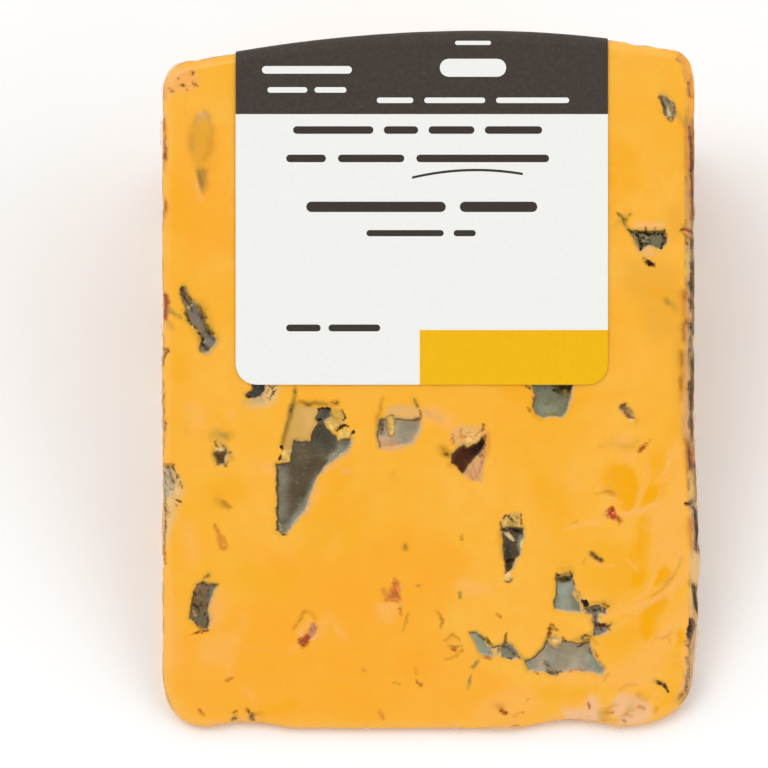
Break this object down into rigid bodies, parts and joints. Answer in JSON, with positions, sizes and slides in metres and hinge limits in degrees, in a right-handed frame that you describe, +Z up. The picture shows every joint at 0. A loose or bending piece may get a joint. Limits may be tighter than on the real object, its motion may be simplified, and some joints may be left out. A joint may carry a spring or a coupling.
{
  "type": "wrapped wedge of blue cheese",
  "caption": "Orange blue cheese wedge with dark mould veins, wrapped tight in clear film, a paper label folded over its rind edge.",
  "frame": {"origin": "middle of the underside of the object's box, in the plane of the cut face that the wedge lies on", "axes": "+Y from the blunt tip to the outer rind, along the longest side; +X across the height of the wheel, to the right in the picture; +Z up, with the shown cut face on top, tilted 28 degrees down towards -Y"},
  "size_m": [0.0778, 0.101, 0.0494],
  "materials": {
    "wrapped_cheese": "soft orange cheese with dark mould veins under tight clear film",
    "label_paper": "satin coated paper, off-white with a charcoal band and a mustard block"
  },
  "bodies": {
    "root": {"wrapped_wedge": "wrapped_cheese", "label": "label_paper"}
  },
  "joints": []
}
